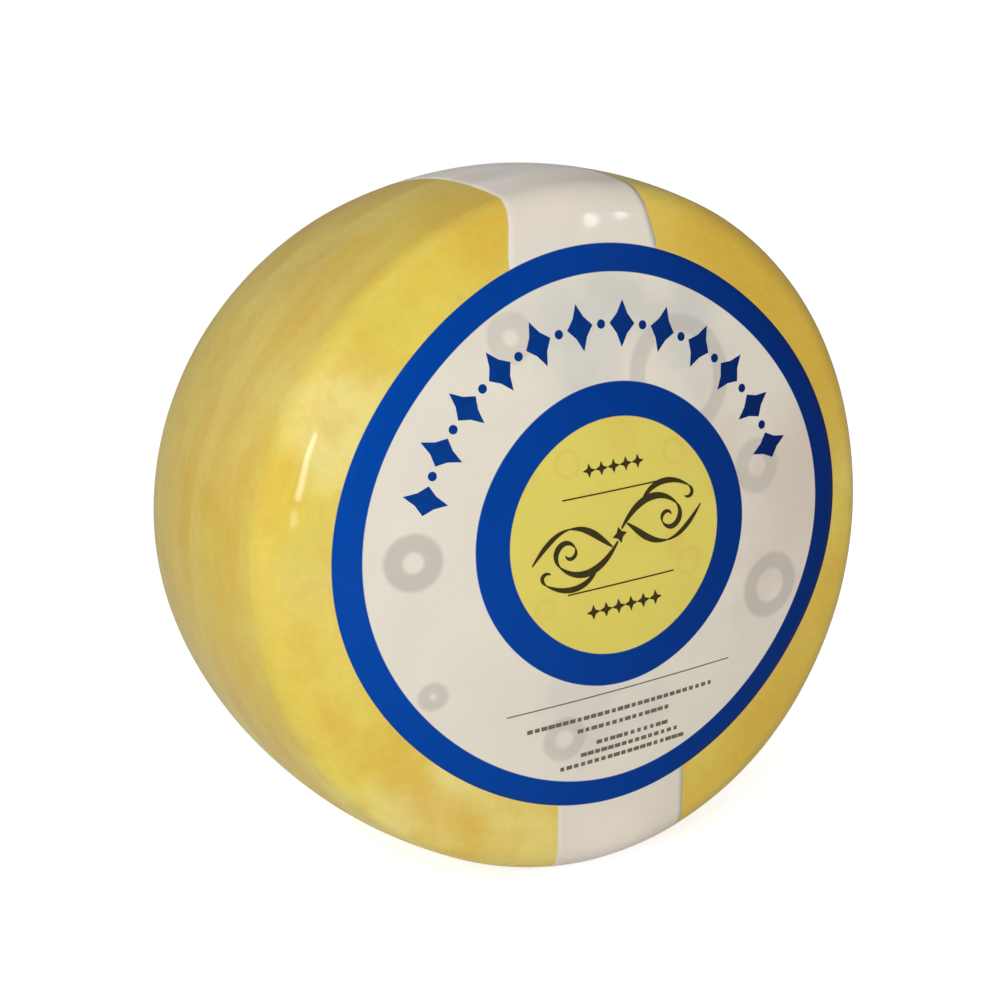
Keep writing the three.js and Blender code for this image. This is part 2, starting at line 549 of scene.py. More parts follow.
def darken(graph: Graph, noise: Feed, levels: Point, darkest: float, colour: Feed) -> Socket:
    """Darkens a colour where a noise is low.

    Args:
        graph: The material's graph.
        noise: The noise, from 0 to 1.
        levels: Between which of its values the colour comes back to itself.
        darkest: What share of the colour is left where the noise is low.
        colour: The colour.

    Returns:
        The darkened colour.
    """
    share = graph.remap(noise, levels, (darkest, 1.0))
    return mix_colour(graph, 1.0, colour, graph.combine(share, share, share), "MULTIPLY")


def fine_bumps(graph: Graph, waves: Feed, height: float) -> Socket:
    """A faint unevenness of the surface, of a height in metres."""
    feeds = {"Strength": 1.0, "Distance": height, "Height": waves}
    return graph.add("ShaderNodeBump", feeds).outputs[0]


@dataclass(frozen=True)
class Gloss:
    """How a finish mirrors: its own surface, and the clear film over it."""

    own: float
    film: float
    film_roughness: float

    def set_on(self, shader: bpy.types.Node) -> None:
        """Sets the shader's constants."""
        shader.inputs["Specular IOR Level"].default_value = self.own
        shader.inputs["Coat Weight"].default_value = self.film
        shader.inputs["Coat Roughness"].default_value = self.film_roughness


PRINT_GLOSS = Gloss(own=0.02, film=0.06, film_roughness=0.06)


@dataclass(frozen=True)
class Tone:
    """A colour that noise lays over another: not at all at the first level, most at the second."""

    colour: Colour
    levels: Point
    strength: float

    def lay(self, graph: Graph, noise: Feed, under: Feed) -> Socket:
        """Lays the tone over a colour."""
        share = graph.remap(noise, self.levels, (0.0, self.strength), True)
        return mix_colour(graph, share, under, self.colour)


@dataclass(frozen=True)
class PaintedLightPatch:
    """One soft patch of painted light or shade over a finish, in a colour of its own, placed from the
    wheel's middle.
    """

    middle: tuple[float, float, float]
    reach: float
    colour: Colour
    strength: float
    raggedness: float = 0.8  # how far its edge wanders, as a share of its reach
    core: float = 0.15  # how far out it keeps its full strength, as a share of its reach

    def lay(self, graph: Graph, centred: Feed, ragged: Feed, colour: Feed) -> Socket:
        """Lays the patch of painted light or shade over a colour.

        Args:
            graph: The material's graph.
            centred: Where each point lies from the wheel's middle.
            ragged: Noise from 0 to 1, which breaks up the patch's edge.
            colour: The colour under it.

        Returns:
            The new colour.
        """
        away = graph.vector_math("DISTANCE", centred, self.middle)
        wander = self.raggedness * self.reach
        edge = graph.math("ADD", away, graph.math("MULTIPLY_ADD", ragged, 2 * wander, -wander))
        share = graph.remap(edge, (self.core * self.reach, self.reach), (self.strength, 0.0), True)
        return mix_colour(graph, share, colour, self.colour)


# The coat's tones. CREAM and OCHRE are its own clouding; the others colour patches of painted light and
# shade, with some of the coat's own tint.
CREAM: Colour = (0.75, 0.60, 0.14)
OCHRE: Colour = (0.665, 0.41, 0.045)
SHADED_AMBER: Colour = (0.64, 0.40, 0.042)
LIT_PALE: Colour = (0.80, 0.675, 0.25)
LIT_LEMON: Colour = (0.715, 0.585, 0.075)
FLOOR_LIT: Colour = (0.86, 0.79, 0.13)
SHADED_BROWN: Colour = (0.56, 0.38, 0.085)
SHADED_DULL: Colour = (0.60, 0.48, 0.11)

# The label's painted shade and light: where its white is shaded, lit, and warmer in shade.
SHADED: Colour = (0.60, 0.575, 0.53)
LIT: Colour = (0.80, 0.73, 0.63)
SHADED_WARM: Colour = (0.67, 0.57, 0.475)


@dataclass(frozen=True)
class CoatFinish:
    """The yellow coat under its tight clear film."""

    wheel: WheelForm = field(default_factory=WheelForm)
    yellow: Colour = (0.705, 0.535, 0.086)
    clouds: Tone = Tone(CREAM, (0.42, 0.68), 0.75)
    patches: Tone = Tone(OCHRE, (0.44, 0.64), 0.6)
    haze: Tone = Tone(CREAM, (0.50, 0.68), 0.45)
    mottles: Tone = Tone(OCHRE, (0.48, 0.66), 0.3)
    # Soft patches of painted light and shade over the coat, with some of its own tint.
    painted_light_and_stains: tuple[PaintedLightPatch, ...] = (
        # Painted shade: darker amber on the right of the face, where less light falls, and the coat's own
        # orange tint beside the top strap.
        PaintedLightPatch((53 * MM, -53 * MM, 79 * MM), 62 * MM, SHADED_AMBER, 0.85),
        PaintedLightPatch((81 * MM, -53 * MM, 43 * MM), 44 * MM, SHADED_AMBER, 0.6),
        PaintedLightPatch((76 * MM, -52 * MM, -62 * MM), 48 * MM, SHADED_AMBER, 0.55),
        PaintedLightPatch((-38 * MM, -47 * MM, 96 * MM), 30 * MM, SHADED_AMBER, 0.6),
        # Painted light: paler, brighter yellow on the left shoulder, where the light falls.
        PaintedLightPatch((-99 * MM, -49 * MM, 29 * MM), 34 * MM, LIT_LEMON, 0.8),
        PaintedLightPatch((-66 * MM, -50 * MM, 74 * MM), 30 * MM, LIT_LEMON, 0.7),
        PaintedLightPatch((-83 * MM, -53 * MM, 40 * MM), 24 * MM, LIT_PALE, 0.8),
        # Painted light: paler and brighter on the face's lower left, and on the side next to it, where
        # light comes up from the floor.
        PaintedLightPatch((-74 * MM, -53 * MM, -58 * MM), 40 * MM, LIT_LEMON, 0.6),
        PaintedLightPatch((-56 * MM, -53 * MM, -77 * MM), 32 * MM, LIT_PALE, 0.85),
        PaintedLightPatch((-28 * MM, -53 * MM, -90 * MM), 30 * MM, LIT_PALE, 0.5),
        PaintedLightPatch((-80 * MM, -22 * MM, -74 * MM), 36 * MM, FLOOR_LIT, 0.95),
        PaintedLightPatch((-54 * MM, -26 * MM, -94 * MM), 34 * MM, FLOOR_LIT, 0.85),
        # Painted shade: duller on the margin left of the label, and browner on the side's upper left, with
        # some of the coat's own brown streaks.
        PaintedLightPatch((-88 * MM, -54 * MM, 4 * MM), 17 * MM, SHADED_DULL, 0.35),
        PaintedLightPatch((-76 * MM, -28 * MM, 76 * MM), 36 * MM, SHADED_BROWN, 0.55),
        PaintedLightPatch((-99 * MM, -20 * MM, 45 * MM), 34 * MM, SHADED_BROWN, 0.4),
    )
    speck_levels: Point = (0.3, 0.62)
    speck_darkest: float = 0.95
    roughness: Point = (0.31, 0.43)
    bump: float = 0.03 * MM
    gloss: Gloss = Gloss(own=0.15, film=0.3, film_roughness=0.05)

    def material(self) -> bpy.types.Material:
        """Builds the material, with its clouding, its patches of painted light and shade, and its fine
        unevenness.
        """
        material, graph, shader = new_material("cheese_coat")
        place = graph.add("ShaderNodeTexCoord").outputs["Object"]
        axis_x, axis_z = self.wheel.axis
        centred = graph.vector_math("SUBTRACT", place, (axis_x, 0.0, axis_z))
        clouds = graph.noise(place, scale=14.0, detail=3.0, shift=1.3)
        patches = graph.streaks(centred, around=1.9, across=38.0, shift=5.9)
        haze = graph.streaks(centred, around=1.1, across=75.0, shift=2.4)
        mottles = graph.noise(place, scale=85.0, detail=3.0, shift=7.7)
        specks = graph.noise(place, scale=420.0, detail=2.0, shift=2.2)
        colour = self.clouds.lay(graph, clouds, self.yellow)
        # Lays the patches of painted light and shade.
        for light_patch in self.painted_light_and_stains:
            colour = light_patch.lay(graph, centred, patches, colour)
        for tone, noise in ((self.patches, patches), (self.haze, haze), (self.mottles, mottles)):
            colour = tone.lay(graph, noise, colour)
        colour = darken(graph, specks, self.speck_levels, self.speck_darkest, colour)
        graph.feed(shader.inputs["Base Color"], colour)
        graph.feed(shader.inputs["Roughness"], graph.remap(patches, MOST, self.roughness))
        waves = graph.noise(place, scale=240.0, detail=3.0, shift=6.6)
        graph.feed(shader.inputs["Normal"], fine_bumps(graph, waves, self.bump))
        self.gloss.set_on(shader)
        return material


@dataclass(frozen=True)
class Eye:
    """One faint ring in the label's ground, like an eye in cut cheese."""

    middle: Point
    outer: float
    inner: float
    strength: float
    soft: float = 0.9 * MM  # how far to each side of an edge the ring fades

    def mask(self, graph: Graph, place: Feed) -> Socket:
        """Where the ring is, from 0 to its strength, with a soft edge."""
        away = graph.vector_math("DISTANCE", place, (*self.middle, 0.0))
        outer = (self.outer - self.soft, self.outer + self.soft)
        inner = (self.inner - self.soft, self.inner + self.soft)
        outside = graph.remap(away, outer, (self.strength, 0.0), True)
        inside = graph.remap(away, inner, (0.0, 1.0), True)
        return graph.math("MULTIPLY", outside, inside)


@dataclass(frozen=True)
class LabelPrint:
    """The sizes of the label's printed fields, about the middle of its print."""

    disc: float = 35.9 * MM
    inner_ring: float = 46.05 * MM
    outer_ring: float = 77.2 * MM
    edge: float = 85.3 * MM
    soft: float = 0.12 * MM  # how far to each side of a field's edge its colour fades
    strap_fade: Point = (83.3 * MM, 93.3 * MM)  # how far up the field's white turns into a strap's
    rim_sheen_fade: Point = (104.0 * MM, 122.0 * MM)  # how far up that turns into the painted sheen at the rim

    def within(self, graph: Graph, away: Feed, radius: float) -> Socket:
        """Where the distance from the print's middle is less than a radius, from 0 to 1."""
        return graph.remap(away, (radius - self.soft, radius + self.soft), (1.0, 0.0))


@dataclass(frozen=True)
class LabelFinish:
    """White film with two blue rings, a yellow disc and faint eyes printed on it."""

    wheel: WheelForm = field(default_factory=WheelForm)
    fields: LabelPrint = field(default_factory=LabelPrint)
    white: Colour = (0.72, 0.67, 0.57)
    # The blue darkens from left to right: partly the ink's own unevenness, partly painted shade where less
    # light falls.
    blue_left: Colour = (0.0, 0.056, 0.35)
    blue_shaded_right: Colour = (0.001, 0.020, 0.15)
    yellow: Colour = (0.69, 0.585, 0.12)
    orange: Colour = (0.68, 0.46, 0.10)
    grey: Colour = (0.44, 0.41, 0.37)
    strap_white: Colour = (0.72, 0.655, 0.565)
    # A painted sheen: the white is lighter where the film crosses the rim, standing in for the bright
    # backdrop it mirrors there.
    rim_sheen_white: Colour = (0.83, 0.765, 0.70)
    # Soft patches of painted shade and light on the white: shade at the top of the field, under the disc,
    # on the right and on the top strap over the rim; light on the bottom strap.
    painted_light_and_shade: tuple[PaintedLightPatch, ...] = (
        PaintedLightPatch((-10 * MM, -59 * MM, 66 * MM), 30 * MM, SHADED, 0.75),
        PaintedLightPatch((32 * MM, -59 * MM, 62 * MM), 24 * MM, SHADED, 0.7),
        PaintedLightPatch((2 * MM, -59 * MM, -56 * MM), 26 * MM, SHADED, 0.7),
        PaintedLightPatch((10 * MM, -52 * MM, -96 * MM), 24 * MM, LIT, 0.9),
        PaintedLightPatch((72 * MM, -56 * MM, 8 * MM), 48 * MM, SHADED_WARM, 0.8),
        PaintedLightPatch((-26 * MM, -20 * MM, 106 * MM), 16 * MM, SHADED, 0.5),
    )
    eyes: tuple[Eye, ...] = (
        Eye((-63.4 * MM, 4.1 * MM), 8.2 * MM, 3.0 * MM, 0.7),
        Eye((-61.6 * MM, -36.4 * MM), 4.4 * MM, 1.0 * MM, 0.6),
        Eye((57.6 * MM, -28.2 * MM), 10.8 * MM, 5.6 * MM, 0.62),
        Eye((53.1 * MM, 11.4 * MM), 8.6 * MM, 3.4 * MM, 0.5),
        Eye((-20.9 * MM, -60.0 * MM), 7.2 * MM, 3.0 * MM, 0.5),
        Eye((-28.0 * MM, 63.2 * MM), 7.4 * MM, 2.4 * MM, 0.4),
        Eye((27.1 * MM, 43.9 * MM), 18.4 * MM, 13.0 * MM, 0.48),
    )
    disc_eyes: tuple[Eye, ...] = (
        Eye((-15.8 * MM, 24.8 * MM), 4.3 * MM, 3.2 * MM, 0.55),
        Eye((24.3 * MM, -12.4 * MM), 4.6 * MM, 3.4 * MM, 0.5),
        Eye((21.4 * MM, 22.4 * MM), 4.2 * MM, 3.1 * MM, 0.45),
        Eye((-26.4 * MM, -17.0 * MM), 3.4 * MM, 2.4 * MM, 0.45),
    )
    darkest: float = 0.955  # what share of a colour is left where its clouding is darkest
    warmth: float = 0.35  # how much orange the disc's warm places have
    roughness: Point = (0.30, 0.39)
    bump: float = 0.015 * MM
    fine_share: float = 0.2  # how high the fine bumps are, as a share of the creases' height
    crease_stretch: float = 0.07  # a crease's width, as a share of its length

    def material(self) -> bpy.types.Material:
        """Builds the material, with painted shade and light on its white and a painted sheen over the rim.
        It reads the UV map, which holds the print's own coordinates.
        """
        material, graph, shader = new_material("printed_label")
        coordinates = graph.add("ShaderNodeTexCoord").outputs
        place = coordinates["Object"]
        print_place = coordinates["UV"]
        _, up, _ = graph.separate(print_place)
        height = graph.math("ABSOLUTE", up)
        strap = graph.remap(height, self.fields.strap_fade, smooth=True)
        # Painted sheen: the white grows lighter over the rim.
        rim = graph.remap(height, self.fields.rim_sheen_fade, smooth=True)
        clouds = graph.noise(place, scale=45.0, detail=3.0, shift=4.2)
        colour = mix_colour(graph, strap, self.white, self.strap_white)
        colour = mix_colour(graph, rim, colour, self.rim_sheen_white)
        axis_x, axis_z = self.wheel.axis
        centred = graph.vector_math("SUBTRACT", place, (axis_x, 0.0, axis_z))
        # Lays the patches of painted shade and light on the white.
        for light_patch in self.painted_light_and_shade:
            colour = light_patch.lay(graph, centred, clouds, colour)
        eyes = graph.total([eye.mask(graph, print_place) for eye in self.eyes])
        colour = mix_colour(graph, eyes, colour, self.grey)
        colour = self._print_fields(graph, place, print_place, colour)
        colour = darken(graph, clouds, MOST, self.darkest, colour)
        graph.feed(shader.inputs["Base Color"], colour)
        graph.feed(shader.inputs["Roughness"], graph.remap(clouds, MOST, self.roughness))
        graph.feed(shader.inputs["Normal"], self._creases(graph, print_place, strap))
        PRINT_GLOSS.set_on(shader)
        return material

    def _print_fields(self, graph: Graph, place: Feed, print_place: Feed, ground: Feed) -> Socket:
        """Prints the two blue rings and the yellow disc. The blue darkens to the right, partly painted
        shade.

        Args:
            graph: The material's graph.
            place: Where each point lies.
            print_place: Where it lies on the print.
            ground: The colour under the print.

        Returns:
            The new colour.
        """
        fields = self.fields
        across, _, _ = graph.separate(print_place)
        away = graph.vector_math("LENGTH", print_place)
        # The blue's darkening to the right is partly painted shade.
        side = graph.remap(across, (-fields.edge, fields.edge))
        blue = mix_colour(graph, side, self.blue_left, self.blue_shaded_right)
        edge = fields.within(graph, away, fields.edge)
        ring = graph.math("SUBTRACT", edge, fields.within(graph, away, fields.outer_ring))
        colour = mix_colour(graph, ring, ground, blue)
        colour = mix_colour(graph, fields.within(graph, away, fields.inner_ring), colour, blue)
        disc = self._disc(graph, place, print_place)
        return mix_colour(graph, fields.within(graph, away, fields.disc), colour, disc)

    def _disc(self, graph: Graph, place: Feed, print_place: Feed) -> Socket:
        """The disc's yellow, a little warmer in places and round its faint eyes."""
        clouds = graph.noise(place, scale=60.0, detail=2.0, shift=9.7)
        colour = Tone(self.orange, (0.5, 0.7), self.warmth).lay(graph, clouds, self.yellow)
        eyes = graph.total([eye.mask(graph, print_place) for eye in self.disc_eyes])
        return mix_colour(graph, eyes, colour, self.orange)

    def _creases(self, graph: Graph, print_place: Feed, strap: Feed) -> Socket:
        """The film's fine unevenness, with long creases down the straps."""
        across, up, _ = graph.separate(print_place)
        stretched = graph.combine(across, graph.math("MULTIPLY", up, self.crease_stretch), 0.0)
        long_waves = graph.noise(stretched, scale=190.0, detail=2.0, shift=1.9)
        short_waves = graph.noise(print_place, scale=260.0, detail=3.0, shift=6.6)
        creases = graph.math("MULTIPLY", long_waves, strap)
        fine = graph.math("MULTIPLY", short_waves, self.fine_share)
        return fine_bumps(graph, graph.math("ADD", creases, fine), self.bump)


@dataclass(frozen=True)
class InkFinish:
    """One printed ink, with a slightly uneven colour."""

    name: str
    colour: Colour
    # The colour at the right; for the blue, darker in part as painted shade.
    shaded_far_colour: Colour
    reach: float = 85.3 * MM  # how far to each side the colour runs
    darkest: float = 0.85  # what share of the colour is left where it is darkest
    roughness: float = 0.36

    def material(self) -> bpy.types.Material:
        """Builds the material. The colour runs from one side of the label to the other; in the blue it
        darkens to the right, partly as painted shade.
        """
        material, graph, shader = new_material(self.name)
        place = graph.add("ShaderNodeTexCoord").outputs["Object"]
        across, _, _ = graph.separate(place)
        side = graph.remap(across, (-self.reach, self.reach))
        colour = mix_colour(graph, side, self.colour, self.shaded_far_colour)
        clouds = graph.noise(place, scale=300.0, shift=3.3)
        graph.feed(shader.inputs["Base Color"], darken(graph, clouds, MOST, self.darkest, colour))
        shader.inputs["Roughness"].default_value = self.roughness
        PRINT_GLOSS.set_on(shader)
        return material


# ---------------------------------------------------------------------------------------------
# The pieces
# ---------------------------------------------------------------------------------------------


def fit_piece(piece: bpy.types.Object, nodes: Sequence[str] = ()) -> bpy.types.Object:
    """Rides a piece on the body, and puts it in the place of CAD nodes."""
    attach(piece, BODY)
    if nodes:
        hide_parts(*nodes)
    LOG.info("%s: %d vertices, %d faces", piece.name, len(piece.data.vertices), len(piece.data.polygons))
    return piece


@dataclass
class CheeseWheel:
    """The wheel in its coat."""

    surface: WheelSurface
    finish: CoatFinish = field(default_factory=CoatFinish)
    lift: float = -0.10 * MM
    rows: int = 230
    columns: int = 360
    merge: float = 0.01 * MM
    turn_weight: float = 40 * MM  # how much a turn of one radian counts as, in sharing out rows

    def build(self) -> bpy.types.Object:
        """Builds the coat from a grid whose rows crowd where the section turns.

        Returns:
            The finished piece.
        """
        takes = {"Rows": "int", "Columns": "int", "Lift": "float", "Merge": "float", "Material": "material"}
        graph, inputs, outputs = new_group("cheese_wheel", takes, {"Geometry": "geometry"})
        arcs = self.surface.form.arcs()
        weights = [arc.length + self.turn_weight * arc.sweep for arc in arcs]
        full = sum(weights)
        columns = graph.math("ADD", inputs["Columns"], 1.0)
        grid = graph.add(
            "GeometryNodeMeshGrid",
            {"Size X": full, "Size Y": 2 * math.pi, "Vertices X": inputs["Rows"], "Vertices Y": columns},
        ).outputs["Mesh"]
        x, angle, _ = graph.separate(graph.add("GeometryNodeInputPosition").outputs[0])
        step = graph.math("ADD", x, full / 2)
        parts = []
        before = 0.0
        for arc, weight in zip(arcs, weights):
            parts.append(graph.remap(step, (before, before + weight), (0.0, arc.length)))
            before += weight
        along = graph.total(parts)
        flat = graph.combine(
            graph.math("MULTIPLY", along, graph.math("COSINE", angle)),
            graph.math("MULTIPLY", along, graph.math("SINE", angle)),
            inputs["Lift"],
        )
        mesh = self.surface.lay(graph, grid, flat)
        feeds = {"Geometry": mesh, "Distance": inputs["Merge"]}
        closed = graph.add("GeometryNodeMergeByDistance", feeds).outputs[0]
        graph.feed(outputs[0], finish_tree(graph, closed, inputs["Material"]))
        sizes = {
            "Rows": self.rows,
            "Columns": self.columns,
            "Lift": self.lift,
            "Merge": self.merge,
            "Material": self.finish.material(),
        }
        return grow("coated_wheel", graph.tree, sizes)

    def dress(self) -> bpy.types.Object:
        """Builds the coat and puts it in the place of the CAD wheel."""
        return fit_piece(self.build(), ["cheese_wheel"])


@dataclass(frozen=True)
class LabelForm:
    """The label's outline, seen from the front, and how it was laid on the wheel."""

    wheel: WheelForm = field(default_factory=WheelForm)
    field_radius: float = 85.3 * MM
    oval: float = 1.3 * MM
    oval_turn: float = math.radians(11)
    squareness: float = 1.1 * MM
    turn: float = math.radians(5.2)
    across: float = 2.6 * MM
    up: float = 2.6 * MM
    top_strap: Point = (49.4 * MM, 43.2 * MM)  # its width at the field, and at its neck
    bottom_strap: Point = (45.8 * MM, 46.2 * MM)
    strap_root: float = 84.0 * MM  # how far up or down the label a strap's width starts to change
    strap_neck: float = 101.0 * MM  # how far up or down it has changed
    strap_across: float = 0.3 * MM  # off the field's own middle
    strap_end: float = 63.0 * MM  # how near that middle the straps come on the back
    drift: Point = (2.95 * MM, -1.41 * MM)  # how far the print's middle lies off the field's
    angle_rounds: int = 8  # how often a strap's angle is worked out again from the one before
    edge_rounds: int = 30

    def printed(self, radius: float, angle: float) -> Point:
        """Where a point of the print lies on the label, once the film has stretched.

        Args:
            radius: The point's distance from the print's middle.
            angle: Its direction from there.

        Returns:
            The point, across and up the label from the field's middle.
        """
        share = radius / self.field_radius
        oval = self.oval * math.cos(2 * (angle - self.oval_turn))
        stretch = (oval + self.squareness * math.cos(4 * angle)) * share**2
        left = 1 - share
        across = (radius + stretch) * math.cos(angle) + self.drift[0] * left
        return across, (radius + stretch) * math.sin(angle) + self.drift[1] * left

    def seen(self, point: Point) -> Point:
        """Where a point of the label lies from the wheel's axis, in X and Z."""
        across = point[0] + self.across
        up = point[1] + self.up
        cosine = math.cos(self.turn)
        sine = math.sin(self.turn)
        return across * cosine - up * sine, across * sine + up * cosine

    def on_face(self, point: Point) -> tuple[float, float]:
        """A point of the field, as its way along the wheel's section and its angle round it."""
        x, z = self.seen(point)
        angle = math.atan2(z, x)
        radius = math.hypot(x, z)
        radius /= self.wheel.swell(angle, radius)
        return self.wheel.along_face(radius), angle

    def strap_line(self, share: float, up: float) -> float:
        """Where a line down a strap lies across the label.

        Args:
            share: How far it keeps from the strap's middle, as a share of the half width.
            up: How far up the label the point lies, from the field's middle.

        Returns:
            The line's place across the label.
        """
        width, neck = self.top_strap if up > 0 else self.bottom_strap
        past = (abs(up) - self.strap_root) / (self.strap_neck - self.strap_root)
        width += min(max(past, 0.0), 1.0) * (neck - width)
        return self.strap_across + share * width / 2

    def strap_share(self, point: Point) -> float:
        """How far a point lies from a strap's middle, as a share of the strap's half width."""
        half = self.strap_line(1.0, point[1]) - self.strap_across
        return (point[0] - self.strap_across) / half

    def strap_angle(self, share: float, along: float, strap: Strap) -> float:
        """The angle round the wheel of a line down a strap.

        Args:
            share: The line's place, as strap_line takes it.
            along: How far along the section the point lies.
            strap: Which strap.

        Returns:
            The angle round the wheel's axis.
        """
        radius = self.wheel.radius_at(along)
        angle = self.turn + strap.value * math.pi / 2
        for _ in range(self.angle_rounds):
            reach = radius * self.wheel.swell(angle, radius)
            up = reach * math.sin(angle - self.turn) - self.up
            across = self.strap_line(share, up) + self.across
            angle = self.turn + strap.value * math.acos(across / reach)
        return angle

    def strap_edge_angle(self, share: float, strap: Strap) -> float:
        """The print's angle where a line down a strap leaves the field's edge."""
        angle = strap.value * math.pi / 2
        for _ in range(self.edge_rounds):
            outline = self.printed(self.field_radius, angle)
            across = self.strap_line(share, outline[1])
            angle = strap.value * math.acos(across / math.hypot(*outline))
        return angle

    def strap_stop(self, share: float, strap: Strap) -> float:
        """How far along the section a line down a strap reaches, on the back."""
        up = strap.value * self.strap_end
        x, z = self.seen((self.strap_line(share, up), up))
        return self.wheel.section_length - self.wheel.along_face(math.hypot(x, z))


@dataclass
class FlatSheet:
    """A sheet's points and faces before it is laid, with the print's coordinates at each point."""

    points: list[Point] = field(default_factory=list)
    print_points: list[Point] = field(default_factory=list)
    faces: list[tuple[int, ...]] = field(default_factory=list)

    def add(self, along: float, angle: float, print_point: Point) -> int:
        """Adds a point by its way along the wheel's section and its angle, and returns its number."""
        self.points.append((along * math.cos(angle), along * math.sin(angle)))
        self.print_points.append(print_point)
        return len(self.points) - 1

    def bridge(self, first: Sequence[int], second: Sequence[int]) -> None:
        """Joins two rows of points by a strip of faces."""
        for i in range(len(first) - 1):
            self.faces.append((first[i], second[i], second[i + 1], first[i + 1]))

    def closed_mesh(self, name: str, outer: float, inner: float) -> bpy.types.Mesh:
        """Gives the sheet its thickness.

        Args:
            name: The mesh's name.
            outer: The height of its outer side.
            inner: The height of its inner side.

        Returns:
            A closed mesh with a UV map of the print's coordinates.
        """
        count = len(self.points)
        vertices = [(x, y, outer) for x, y in self.points] + [(x, y, inner) for x, y in self.points]
        edges = {(face[i - 1], face[i]) for face in self.faces for i in range(len(face))}
        faces = list(self.faces)
        faces += [tuple(i + count for i in reversed(face)) for face in self.faces]
        faces += [(b, a, a + count, b + count) for a, b in sorted(edges) if (b, a) not in edges]
        mesh = bpy.data.meshes.new(name)
        mesh.from_pydata(vertices, [], faces)
        layer = mesh.uv_layers.new(name="UVMap")
        for loop in mesh.loops:
            layer.data[loop.index].uv = self.print_points[loop.vertex_index % count]
        return mesh


@dataclass
class PrintedLabel:
    """The label: one sheet of printed film, from the back over the rim and the face."""

    surface: WheelSurface
    form: LabelForm = field(default_factory=LabelForm)
    finish: LabelFinish = field(default_factory=LabelFinish)
    outer: float = -0.04 * MM
    inner: float = -0.28 * MM
    strap_columns: int = 24
    side_columns: int = 106
    strap_rows: int = 160
    ring_step: float = 2.1 * MM

    def _angles(self) -> tuple[list[float], dict[Strap, list[int]]]:
        """The print's angles round the field, and which of them belong to each strap."""
        stops = [
            self.form.strap_edge_angle(1.0, Strap.TOP),
            self.form.strap_edge_angle(-1.0, Strap.TOP),
            self.form.strap_edge_angle(-1.0, Strap.BOTTOM) + 2 * math.pi,
            self.form.strap_edge_angle(1.0, Strap.BOTTOM) + 2 * math.pi,
        ]
        stops.append(stops[0] + 2 * math.pi)
        counts = [self.strap_columns, self.side_columns, self.strap_columns, self.side_columns]
        angles: list[float] = []
        for i, count in enumerate(counts):
            angles += [stops[i] + (stops[i + 1] - stops[i]) * step / count for step in range(count)]
        bottom = self.strap_columns + self.side_columns
        members = {
            Strap.TOP: list(range(self.strap_columns + 1)),
            Strap.BOTTOM: list(range(bottom, bottom + self.strap_columns + 1)),
        }
        return angles, members

    def _radii(self) -> list[float]:
        """The field's rings of points, with one at the edge of each printed field."""
        fields = self.finish.fields
        radii: list[float] = []
        inner = 0.0
        for outer in (fields.disc, fields.inner_ring, fields.outer_ring, fields.edge):
            count = math.ceil((outer - inner) / self.ring_step)
            radii += [inner + (outer - inner) * (i + 1) / count for i in range(count)]
            inner = outer
        return radii

    def _sheet(self) -> FlatSheet:
        """Lays out the field ring by ring, and then the straps row by row."""
        sheet = FlatSheet()
        angles, members = self._angles()
        middle = sheet.add(*self.form.on_face(self.form.printed(0.0, 0.0)), (0.0, 0.0))
        ring: list[int] = []
        for radius in self._radii():
            before = ring
            ring = []
            for angle in angles:
                point = (radius * math.cos(angle), radius * math.sin(angle))
                ring.append(sheet.add(*self.form.on_face(self.form.printed(radius, angle)), point))
            if before:
                sheet.bridge(before + before[:1], ring + ring[:1])
            else:
                sheet.faces += [(middle, ring[i - 1], ring[i]) for i in range(len(ring))]
        for strap in Strap:
            columns = [self._strap_column(sheet, angles[i], ring[i], strap) for i in members[strap]]
            for row, following in zip(zip(*columns), list(zip(*columns))[1:]):
                sheet.bridge(row, following)
        return sheet

    def _strap_column(self, sheet: FlatSheet, angle: float, edge: int, strap: Strap) -> list[int]:
        """Adds one line of points down a strap, and returns their numbers from the field's edge."""
        outline = self.form.printed(self.form.field_radius, angle)
        share = self.form.strap_share(outline)
        start = self.form.on_face(outline)[0]
        stop = self.form.strap_stop(share, strap)
        print_across, print_up = sheet.print_points[edge]
        column = [edge]
        for row in range(1, self.strap_rows + 1):
            along = start + (stop - start) * row / self.strap_rows
            turn = self.form.strap_angle(share, along, strap)
            point = (print_across, print_up + strap.value * (along - start))
            column.append(sheet.add(along, turn, point))
        return column

    def build(self) -> bpy.types.Object:
        """Lays the sheet on the wheel.

        Returns:
            The finished piece.
        """
        takes = {"Geometry": "geometry", "Material": "material"}
        graph, inputs, outputs = new_group("label_sheet", takes, {"Geometry": "geometry"})
        flat = graph.add("GeometryNodeInputPosition").outputs[0]
        mesh = self.surface.lay(graph, inputs["Geometry"], flat)
        graph.feed(outputs[0], finish_tree(graph, mesh, inputs["Material"]))
        flat_mesh = self._sheet().closed_mesh("label_sheet", self.outer, self.inner)
        return grow("label_sheet", graph.tree, {"Material": self.finish.material()}, flat_mesh)

    def dress(self) -> bpy.types.Object:
        """Builds the sheet and puts it in the place of the CAD label."""
        return fit_piece(self.build(), ["label"])


# ---------------------------------------------------------------------------------------------
# The printed marks
# ---------------------------------------------------------------------------------------------


@dataclass(frozen=True)
class Bar:
    """One thin printed line across the label, placed from the label's middle."""

    middle: Point
    length: float
    width: float
    columns: int = 30


